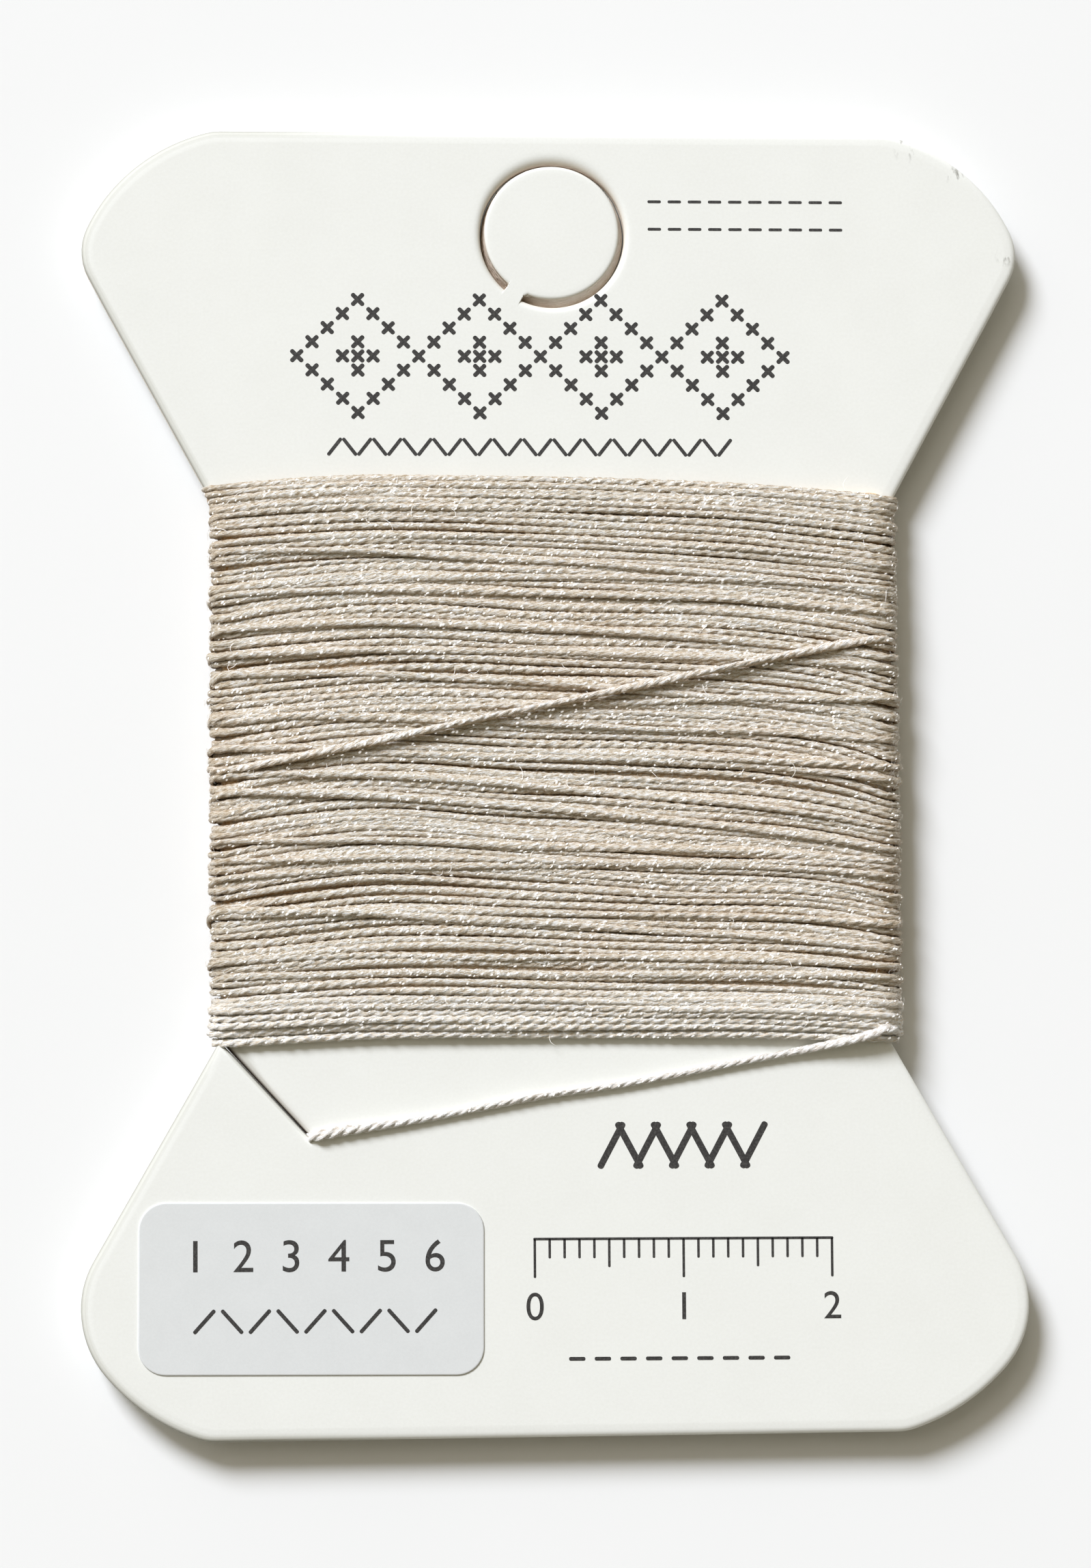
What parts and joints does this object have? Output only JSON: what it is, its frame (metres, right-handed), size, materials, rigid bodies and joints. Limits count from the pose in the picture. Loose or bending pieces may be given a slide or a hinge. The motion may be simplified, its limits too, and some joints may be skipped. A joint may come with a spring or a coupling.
{
  "type": "thread card",
  "caption": "Flat die-cut board card wound about its waist with fine twisted glitter thread, with a fold-back hang disc, a slit that holds the thread's end and a paper label.",
  "frame": {"origin": "middle of the card's outline, on the surface that the back of the winding lies on", "axes": "+X to the right and +Y towards the hang hole for someone who looks at the face, +Z out of the face"},
  "size_m": [0.0636, 0.0882, 0.0043],
  "materials": {
    "card_liner": "smooth white paper liner, faintly coated",
    "card_core": "fibrous cut pulp board",
    "label_paper": "matt cool-white label paper",
    "thread": "beige twisted fibre with fine bright metallic glitter"
  },
  "bodies": {
    "card": {"card_core": "card_core", "card_face_liner": "card_liner", "card_back_liner": "card_liner", "label": "label_paper", "winding_inner_layers": "thread", "winding_outer_turns": "thread", "thread_finishing_run": "thread"},
    "hang_disc": {"hang_disc_core": "card_core", "hang_disc_face_liner": "card_liner", "hang_disc_back_liner": "card_liner"}
  },
  "joints": [
    {"name": "hang_disc_fold", "type": "hinge", "parent": "card", "child": "hang_disc", "pos_m": [-0.00243, 0.03309, 0.00131], "axis": [-0.8348, 0.5505, 0], "range_deg": [0, 170]}
  ]
}
